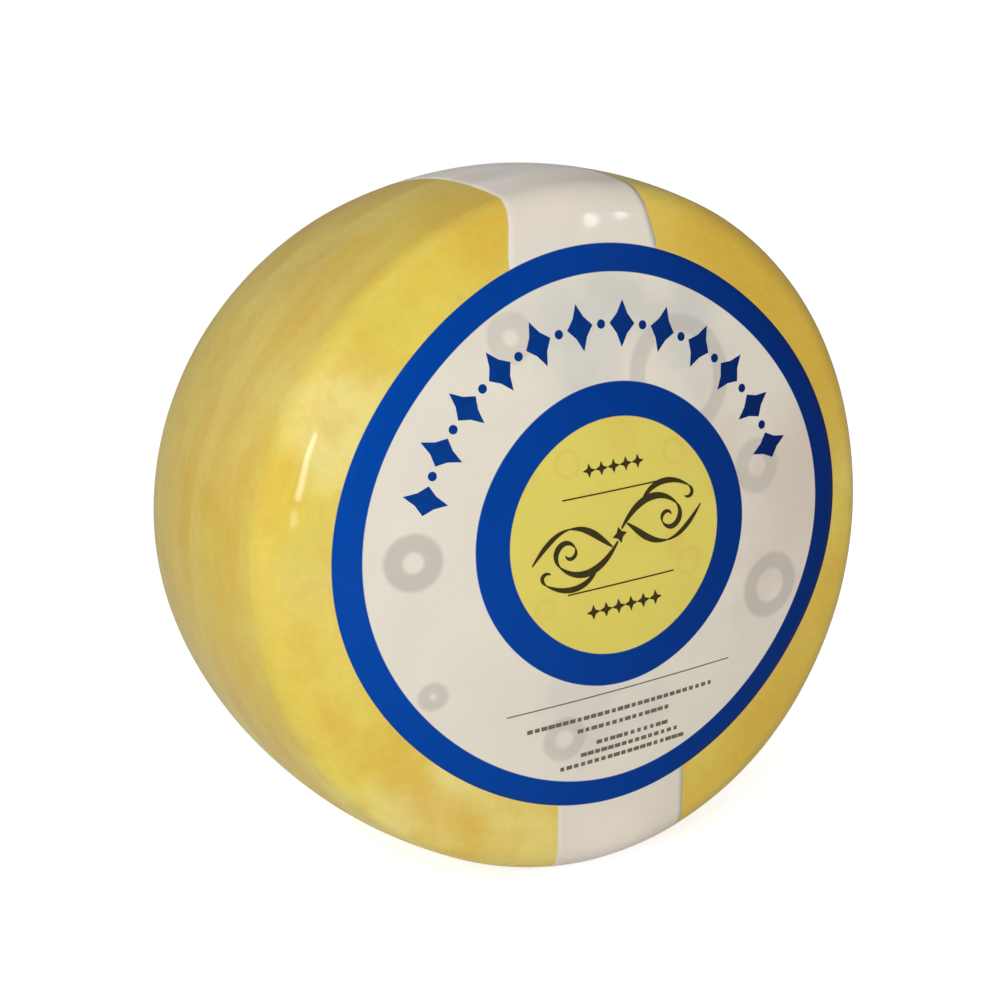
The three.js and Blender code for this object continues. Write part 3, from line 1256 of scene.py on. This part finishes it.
@dataclass
class PrintMaker:
    """What the printed marks share: thin raised shapes, drawn flat on the label and then laid."""

    surface: WheelSurface
    label: LabelForm = field(default_factory=LabelForm)
    top: float = 0.0
    bottom: float = -0.09 * MM
    merge: float = 0.001 * MM

    def start(self, name: str, takes: dict[str, str]) -> tuple[Graph, Any, Any]:
        """Starts a tree for one kind of mark, with the inputs that it takes."""
        return new_group(name, {**takes, "Material": "material"}, {"Geometry": "geometry"})

    def end(self, graph: Graph, shapes: Feed, outputs: Any, material: Feed) -> None:
        """Ends a tree: gives flat shapes their thickness, and lays them on the label.

        Args:
            graph: The marks' graph.
            shapes: Flat faces in the label's plane, across and up from its middle.
            outputs: The inputs of the graph's output node.
            material: The socket that holds the ink.
        """
        flat = graph.add("GeometryNodeRealizeInstances", {"Geometry": shapes}).outputs[0]
        rise = graph.combine(0.0, 0.0, self.top - self.bottom)
        feeds = {"Mesh": flat, "Offset": rise, "Offset Scale": 1.0, "Individual": False}
        raised = graph.add("GeometryNodeExtrudeMesh", feeds).outputs["Mesh"]
        under = graph.add("GeometryNodeFlipFaces", {"Mesh": flat}).outputs[0]
        feeds = {"Geometry": graph.join((raised, under)), "Distance": self.merge}
        solid = graph.add("GeometryNodeMergeByDistance", feeds).outputs[0]
        place = graph.add("GeometryNodeInputPosition").outputs[0]
        mesh = self.surface.lay(graph, solid, self._to_disc(graph, place))
        graph.feed(outputs[0], finish_tree(graph, mesh, material, smooth=False))

    def _to_disc(self, graph: Graph, place: Feed) -> Socket:
        """Takes a place on the label to the flat disc, as LabelForm.on_face does."""
        wheel = self.label.wheel
        u, v, height = graph.separate(place)
        across = graph.math("ADD", u, self.label.across)
        up = graph.math("ADD", v, self.label.up)
        cosine = math.cos(self.label.turn)
        sine = math.sin(self.label.turn)
        x = graph.math("SUBTRACT", graph.math("MULTIPLY", across, cosine), graph.math("MULTIPLY", up, sine))
        z = graph.math("ADD", graph.math("MULTIPLY", across, sine), graph.math("MULTIPLY", up, cosine))
        angle = graph.math("ARCTAN2", z, x)
        radius = graph.vector_math("LENGTH", graph.combine(x, z, 0.0))
        radius = graph.math("DIVIDE", radius, add_swell(graph, wheel, angle, radius))
        share = graph.math("ARCSINE", graph.math("DIVIDE", radius, wheel.face_curve))
        along = graph.math("MULTIPLY", share, wheel.face_curve)
        return graph.combine(
            graph.math("MULTIPLY", along, graph.math("COSINE", angle)),
            graph.math("MULTIPLY", along, graph.math("SINE", angle)),
            graph.math("ADD", height, self.bottom),
        )

    def star(self, graph: Graph, tips: int, outer: Feed, inner: Feed) -> Socket:
        """A flat star that points up, filled and cut fine enough to bend."""
        feeds = {"Points": tips, "Inner Radius": inner, "Outer Radius": outer}
        curve = graph.add("GeometryNodeCurveStar", feeds).outputs["Curve"]
        filled = graph.add("GeometryNodeFillCurve", {"Curve": curve}).outputs[0]
        return graph.add("GeometryNodeSubdivideMesh", {"Mesh": filled, "Level": 2}).outputs[0]

    def dot(self, graph: Graph, radius: Feed) -> Socket:
        """A flat round dot."""
        feeds = {"Vertices": 24, "Radius": radius}
        return graph.add("GeometryNodeMeshCircle", feeds, fill_type="TRIANGLE_FAN").outputs[0]

    def rule(self, graph: Graph, bar: Bar) -> Socket:
        """A thin straight line, cut fine enough to bend."""
        feeds = {"Size X": bar.length, "Size Y": bar.width, "Vertices X": bar.columns, "Vertices Y": 2}
        grid = graph.add("GeometryNodeMeshGrid", feeds).outputs["Mesh"]
        feeds = {"Geometry": grid, "Translation": (*bar.middle, 0.0)}
        return graph.add("GeometryNodeTransform", feeds).outputs[0]


@dataclass
class ArcOfMarks:
    """Bold marks on an arc over the disc: lozenges, and dots between them."""

    maker: PrintMaker
    ink: InkFinish
    middle: Point = (0.3 * MM, -0.1 * MM)
    radius: float = 62.3 * MM
    start: float = math.radians(15.5)
    stop: float = math.radians(160.5)
    count: int = 23
    half_length: float = 6.9 * MM
    waist: float = 4.1 * MM
    narrowness: float = 0.62
    dot_radius: float = 1.35 * MM

    def build(self) -> bpy.types.Object:
        """Puts the marks on the arc by turns, each standing square to it."""
        takes = {"Count": "int", "Radius": "float", "Length": "float", "Waist": "float", "Dot": "float"}
        graph, inputs, outputs = self.maker.start("arc_of_marks", takes)
        sweep = self.stop - self.start
        feeds = {
            "Resolution": inputs["Count"],
            "Radius": inputs["Radius"],
            "Start Angle": self.start,
            "Sweep Angle": sweep,
        }
        arc = graph.add("GeometryNodeCurveArc", feeds, mode="RADIUS").outputs["Curve"]
        points = graph.add("GeometryNodeCurveToPoints", {"Curve": arc}, mode="EVALUATED").outputs["Points"]
        index = graph.add("GeometryNodeInputIndex").outputs[0]
        odd = graph.math("MODULO", index, 2.0)
        spin = graph.math("MULTIPLY_ADD", index, sweep / (self.count - 1), self.start - math.pi / 2)
        turn = graph.combine(0.0, 0.0, spin)
        lozenge = self.maker.star(graph, 4, inputs["Length"], inputs["Waist"])
        narrow = (self.narrowness, 1.0, 1.0)
        lozenge = graph.add("GeometryNodeTransform", {"Geometry": lozenge, "Scale": narrow}).outputs[0]
        dot = self.maker.dot(graph, inputs["Dot"])
        placed = []
        for shape, chosen in ((lozenge, graph.math("LESS_THAN", odd, 0.5)), (dot, odd)):
            feeds = {"Points": points, "Selection": chosen, "Instance": shape, "Rotation": turn}
            placed.append(graph.add("GeometryNodeInstanceOnPoints", feeds).outputs[0])
        feeds = {"Geometry": graph.join(placed), "Translation": (*self.middle, 0.0)}
        moved = graph.add("GeometryNodeTransform", feeds).outputs[0]
        self.maker.end(graph, moved, outputs, inputs["Material"])
        sizes = {
            "Count": self.count,
            "Radius": self.radius,
            "Length": self.half_length,
            "Waist": self.waist,
            "Dot": self.dot_radius,
            "Material": self.ink.material(),
        }
        return grow("blue_marks", graph.tree, sizes)

    def dress(self) -> bpy.types.Object:
        """Builds the marks and rides them on the wheel."""
        return fit_piece(self.build())


@dataclass(frozen=True)
class MarkRow:
    """One short row of small stars."""

    middle: Point
    count: int
    spacing: float
    tip: float


@dataclass(frozen=True)
class Stroke:
    """One stroke of the scroll, in millimetres: a curve between two points, by its two handles."""

    start: Point
    start_handle: Point
    end_handle: Point
    end: Point
    width: float

    def turned(self) -> Stroke:
        """The same stroke turned half round about the scroll's middle."""
        points = [(-x, -y) for x, y in (self.start, self.start_handle, self.end_handle, self.end)]
        return Stroke(*points, self.width)


@dataclass
class DarkPrint:
    """What is printed in dark ink on the disc: the scroll, two rules and two rows of small stars."""

    maker: PrintMaker
    ink: InkFinish
    bars: tuple[Bar, ...] = (
        Bar((2.3 * MM, 13.4 * MM), 37.4 * MM, 0.46 * MM),
        Bar((1.8 * MM, -15.1 * MM), 37.4 * MM, 0.46 * MM),
    )
    rows: tuple[MarkRow, ...] = (
        MarkRow((1.7 * MM, 20.7 * MM), 5, 4.2 * MM, 2.2 * MM),
        MarkRow((2.4 * MM, -22.1 * MM), 6, 4.4 * MM, 2.4 * MM),
    )
    scroll_middle: Point = (2.0 * MM, -0.3 * MM)
    scroll_turn: float = math.radians(9)
    waist_share: float = 0.42  # a small star's waist, as a share of its tip
    ends_share: float = 0.25  # a stroke's width at its ends, as a share of its width in the middle
    stroke_steps: int = 18
    lozenge: Point = (2.6, 1.3)  # the middle lozenge's tips and waist, in millimetres
    strokes: tuple[Stroke, ...] = (
        Stroke((1.0, 1.6), (9.0, 9.5), (17.0, 9.0), (21.5, 2.6), 2.3),
        Stroke((21.5, 2.6), (24.6, -2.4), (17.6, -6.8), (15.4, -1.6), 1.9),
        Stroke((15.4, -1.6), (14.6, 1.4), (18.6, 2.4), (19.0, -0.3), 1.3),
        Stroke((9.0, 6.0), (12.5, 11.6), (20.5, 12.6), (27.0, 6.4), 1.9),
        Stroke((27.0, 6.4), (29.8, 3.2), (26.0, 1.9), (25.0, 3.6), 1.3),
        Stroke((3.2, 2.6), (7.0, -1.5), (9.4, -6.2), (15.6, -7.4), 2.1),
        Stroke((15.6, -7.4), (19.6, -8.0), (24.0, -6.0), (30.2, -0.8), 1.6),
    )

    def build(self) -> bpy.types.Object:
        """Draws the rules, the rows and the scroll, and lays them on the label."""
        takes = {"Waist share": "float", "Stroke scale": "float"}
        graph, inputs, outputs = self.maker.start("dark_print", takes)
        shapes = [self.maker.rule(graph, bar) for bar in self.bars]
        shapes += [self._row(graph, row, inputs["Waist share"]) for row in self.rows]
        shapes.append(self._scroll(graph, inputs["Stroke scale"]))
        self.maker.end(graph, graph.join(shapes), outputs, inputs["Material"])
        sizes = {"Waist share": self.waist_share, "Stroke scale": MM, "Material": self.ink.material()}
        return grow("dark_print", graph.tree, sizes)

    def _row(self, graph: Graph, row: MarkRow, share: Feed) -> Socket:
        """A row of small stars."""
        reach = row.spacing * (row.count - 1) / 2
        x, y = row.middle
        start = (x - reach, y, 0.0)
        feeds = {"Count": row.count, "Start Location": start, "Offset": (row.spacing, 0.0, 0.0)}
        line = graph.add("GeometryNodeMeshLine", feeds).outputs[0]
        star = self.maker.star(graph, 4, row.tip, graph.math("MULTIPLY", share, row.tip))
        return graph.add("GeometryNodeInstanceOnPoints", {"Points": line, "Instance": star}).outputs[0]

    def _scroll(self, graph: Graph, scale: Feed) -> Socket:
        """The scroll: swelling strokes about a middle lozenge, alike when turned half round."""
        strokes = [stroke for one in self.strokes for stroke in (one, one.turned())]
        shapes = [self._stroke(graph, stroke) for stroke in strokes]
        shapes.append(self.maker.star(graph, 4, *self.lozenge))
        feeds = {
            "Geometry": graph.join(shapes),
            "Translation": (*self.scroll_middle, 0.0),
            "Rotation": (0.0, 0.0, self.scroll_turn),
            "Scale": graph.combine(scale, scale, scale),
        }
        return graph.add("GeometryNodeTransform", feeds).outputs[0]

    def _stroke(self, graph: Graph, stroke: Stroke) -> Socket:
        """One stroke as a flat ribbon that is thickest in its middle."""
        feeds = {
            "Resolution": self.stroke_steps,
            "Start": (*stroke.start, 0.0),
            "Start Handle": (*stroke.start_handle, 0.0),
            "End Handle": (*stroke.end_handle, 0.0),
            "End": (*stroke.end, 0.0),
        }
        curve = graph.add("GeometryNodeCurvePrimitiveBezierSegment", feeds).outputs[0]
        feeds = {"Curve": curve, "Count": self.stroke_steps + 1}
        curve = graph.add("GeometryNodeResampleCurve", feeds).outputs[0]
        part = graph.add("GeometryNodeSplineParameter").outputs["Factor"]
        belly = graph.math("SINE", graph.math("MULTIPLY", part, math.pi))
        wide = graph.math("MULTIPLY_ADD", belly, 1.0 - self.ends_share, self.ends_share)
        curve = graph.add("GeometryNodeSetCurveNormal", {"Curve": curve}, mode="Z_UP").outputs[0]
        half = stroke.width / 2
        feeds = {"Start": (-half, 0.0, 0.0), "End": (half, 0.0, 0.0)}
        profile = graph.add("GeometryNodeCurvePrimitiveLine", feeds).outputs[0]
        feeds = {"Curve": curve, "Profile Curve": profile, "Scale": wide}
        return graph.add("GeometryNodeCurveToMesh", feeds).outputs[0]

    def dress(self) -> bpy.types.Object:
        """Builds the dark print and rides it on the wheel."""
        return fit_piece(self.build())


@dataclass(frozen=True)
class DashRow:
    """One row of the fine print, as dashes of uneven lengths."""

    left: float
    right: float
    up: float


@dataclass
class FinePrint:
    """The fine print under the disc: one long rule and rows of thin dashes."""

    maker: PrintMaker
    ink: InkFinish
    rule: Bar = Bar((1.0 * MM, -48.7 * MM), 79.8 * MM, 0.38 * MM, columns=60)
    rows: tuple[DashRow, ...] = (
        DashRow(-31.6 * MM, 34.4 * MM, -55.1 * MM),
        DashRow(-14.6 * MM, 17.9 * MM, -59.0 * MM),
        DashRow(-8.1 * MM, 16.2 * MM, -64.1 * MM),
        DashRow(-13.6 * MM, 21.8 * MM, -67.1 * MM),
        DashRow(-21.1 * MM, 22.9 * MM, -70.1 * MM),
    )
    spacing: float = 2.4 * MM
    height: float = 1.3 * MM
    shares: Point = (0.5, 0.95)  # how much of the spacing the shortest and longest dash take
    seed: int = 11

    def build(self) -> bpy.types.Object:
        """Draws the rule and the dashes, and lays them on the label."""
        takes = {"Spacing": "float", "Height": "float", "Seed": "int"}
        graph, inputs, outputs = self.maker.start("fine_print", takes)
        shapes = [self.maker.rule(graph, self.rule)]
        shapes += [self._dashes(graph, row, number, inputs) for number, row in enumerate(self.rows)]
        self.maker.end(graph, graph.join(shapes), outputs, inputs["Material"])
        sizes = {
            "Spacing": self.spacing,
            "Height": self.height,
            "Seed": self.seed,
            "Material": self.ink.material(),
        }
        return grow("fine_print", graph.tree, sizes)

    def _dashes(self, graph: Graph, row: DashRow, number: int, inputs: Any) -> Socket:
        """Draws one row of dashes, each a random share of the spacing long.

        Args:
            graph: The fine print's graph.
            row: Where the row starts and stops.
            number: Its number, which its random lengths depend on.
            inputs: The outputs of the graph's input node.

        Returns:
            The dashes, as instances.
        """
        steps = graph.math("FLOOR", graph.math("DIVIDE", row.right - row.left, inputs["Spacing"]))
        feeds = {
            "Count": graph.math("ADD", steps, 1.0),
            "Start Location": (row.left, row.up, 0.0),
            "Offset": graph.combine(inputs["Spacing"], 0.0, 0.0),
        }
        line = graph.add("GeometryNodeMeshLine", feeds).outputs[0]
        feeds = {"Size X": inputs["Spacing"], "Size Y": inputs["Height"], "Vertices X": 4, "Vertices Y": 2}
        dash = graph.add("GeometryNodeMeshGrid", feeds).outputs["Mesh"]
        random = graph.add("FunctionNodeRandomValue", data_type="FLOAT")
        graph.feed(random.inputs["Seed"], graph.math("ADD", inputs["Seed"], float(number)))
        random.inputs[2].default_value = self.shares[0]
        random.inputs[3].default_value = self.shares[1]
        scale = graph.combine(random.outputs[1], 1.0, 1.0)
        feeds = {"Points": line, "Instance": dash, "Scale": scale}
        return graph.add("GeometryNodeInstanceOnPoints", feeds).outputs[0]

    def dress(self) -> bpy.types.Object:
        """Builds the fine print and rides it on the wheel."""
        return fit_piece(self.build())


# ---------------------------------------------------------------------------------------------
# The studio
# ---------------------------------------------------------------------------------------------


@dataclass(frozen=True)
class Lamp:
    """One soft rectangular lamp, placed from the wheel's middle."""

    name: str
    place: tuple[float, float, float]
    width: float
    height: float
    power: float
    mirrored: bool = False  # whether glossy surfaces show it
    lean: float = 0.0  # how far its top leans to the left, as it faces the wheel

    def build(self, target: Vector) -> bpy.types.Object:
        """Builds the lamp, turned to face a target."""
        data = bpy.data.lights.new(self.name, "AREA")
        data.shape = "RECTANGLE"
        data.size = self.width
        data.size_y = self.height
        data.energy = self.power
        lamp = bpy.data.objects.new(self.name, data)
        lamp.location = target + Vector(self.place)
        facing = (-Vector(self.place)).to_track_quat("-Z", "Y")
        lamp.rotation_euler = (facing @ Quaternion((0.0, 0.0, 1.0), self.lean)).to_euler()
        lamp.visible_camera = False
        lamp.visible_glossy = self.mirrored
        bpy.context.scene.collection.objects.link(lamp)
        return lamp


@dataclass(frozen=True)
class Studio:
    """A pale floor, soft light from all round, and the camera."""

    middle: Vector
    azimuth: float = math.radians(-28.19)
    elevation: float = math.radians(11.28)
    distance: float = 542.7 * MM
    aim: tuple[float, float, float] = (-2.56 * MM, 2.04 * MM, 2.95 * MM)
    lens: float = 59.9
    nearest: float = 0.01
    floor_size: float = 60.0
    floor_colour: Colour = (0.90, 0.90, 0.90)
    floor_glow: float = 0.72
    sky_fill: float = 0.25
    sky_left: float = 0.77
    lamps: tuple[Lamp, ...] = (
        Lamp("key", (-0.42, -0.60, 0.34), 0.34, 0.34, 2.68),
        Lamp("low_fill", (-0.075, -0.50, -0.045), 0.10, 0.12, 0.18),
        Lamp("streak", (-0.064, -0.500, 0.000), 0.012, 0.075, 0.065, True, math.radians(-17)),
        Lamp("tail", (-0.080, -0.495, -0.053), 0.014, 0.016, 0.007, True, math.radians(-17)),
        Lamp("spot_left", (0.655, -1.108, 0.401), 0.034, 0.030, 0.42, True),
        Lamp("spot_right", (0.716, -1.072, 0.408), 0.024, 0.034, 0.36, True),
    )

    def build(self) -> None:
        """Builds the floor, the sky, the lamps and the camera."""
        self._floor()
        self._sky()
        for lamp in self.lamps:
            lamp.build(self.middle)
        self._camera()
        bpy.context.scene.view_settings.view_transform = "Standard"
        LOG.info("studio: %d lamps", len(self.lamps))

    def _floor(self) -> None:
        """A wide pale floor at the height that the wheel stands on."""
        half = self.floor_size / 2
        mesh = bpy.data.meshes.new("floor")
        corners = [(-half, -half, 0.0), (half, -half, 0.0), (half, half, 0.0), (-half, half, 0.0)]
        mesh.from_pydata(corners, [], [(0, 1, 2, 3)])
        floor = bpy.data.objects.new("floor", mesh)
        bpy.context.scene.collection.objects.link(floor)
        material, graph, shader = new_material("floor")
        shader.inputs["Base Color"].default_value = (*self.floor_colour, 1.0)
        shader.inputs["Roughness"].default_value = 0.9
        shader.inputs["Specular IOR Level"].default_value = 0.0
        shader.inputs["Emission Color"].default_value = (1.0, 1.0, 1.0, 1.0)
        seen = graph.add("ShaderNodeLightPath").outputs["Is Camera Ray"]
        glow = graph.math("MULTIPLY", seen, self.floor_glow)
        graph.feed(shader.inputs["Emission Strength"], glow)
        mesh.materials.append(material)

    def _sky(self) -> None:
        """Soft light from all round, brighter from the left. The sky itself shows white."""
        world = bpy.data.worlds.new("sky")
        world.use_nodes = True
        bpy.context.scene.world = world
        graph = Graph(world.node_tree)
        background = world.node_tree.nodes["Background"]
        across, _, _ = graph.separate(graph.add("ShaderNodeTexCoord").outputs["Generated"])
        light = graph.remap(across, (-1.0, 0.0), (self.sky_fill + self.sky_left, self.sky_fill), True)
        seen = graph.add("ShaderNodeLightPath").outputs["Is Camera Ray"]
        strength = graph.math("MAXIMUM", seen, light)
        graph.feed(background.inputs["Strength"], strength)
        background.inputs["Color"].default_value = (1.0, 1.0, 1.0, 1.0)

    def _camera(self) -> None:
        """The camera, a little to the left of the face and above it."""
        level = math.cos(self.elevation)
        x = level * math.sin(self.azimuth)
        back = Vector((x, -level * math.cos(self.azimuth), math.sin(self.elevation)))
        data = bpy.data.cameras.new("camera")
        data.lens = self.lens
        data.clip_start = self.nearest
        camera = bpy.data.objects.new("camera", data)
        camera.location = self.middle + Vector(self.aim) + back * self.distance
        camera.rotation_euler = back.to_track_quat("Z", "Y").to_euler()
        bpy.context.scene.collection.objects.link(camera)
        bpy.context.scene.camera = camera


def main() -> None:
    """Builds the cheese, its print and the studio."""
    logging.basicConfig(level=logging.INFO, format="%(name)s: %(message)s")
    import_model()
    surface = WheelSurface()
    surface.build()
    CheeseWheel(surface).dress()
    PrintedLabel(surface).dress()
    maker = PrintMaker(surface)
    # The blue ink darkens to the right, partly as painted shade.
    blue = InkFinish("blue_ink", (0.001, 0.050, 0.28), (0.002, 0.012, 0.10))
    dark = InkFinish("dark_ink", (0.045, 0.035, 0.012), (0.045, 0.035, 0.012))
    grey = InkFinish("grey_ink", (0.16, 0.13, 0.10), (0.16, 0.13, 0.10))
    ArcOfMarks(maker, blue).dress()
    DarkPrint(maker, dark).dress()
    FinePrint(maker, grey).dress()
    axis_x, axis_z = surface.form.axis
    Studio(Vector((axis_x, 0.0, axis_z))).build()


if __name__ == "__main__":
    main()
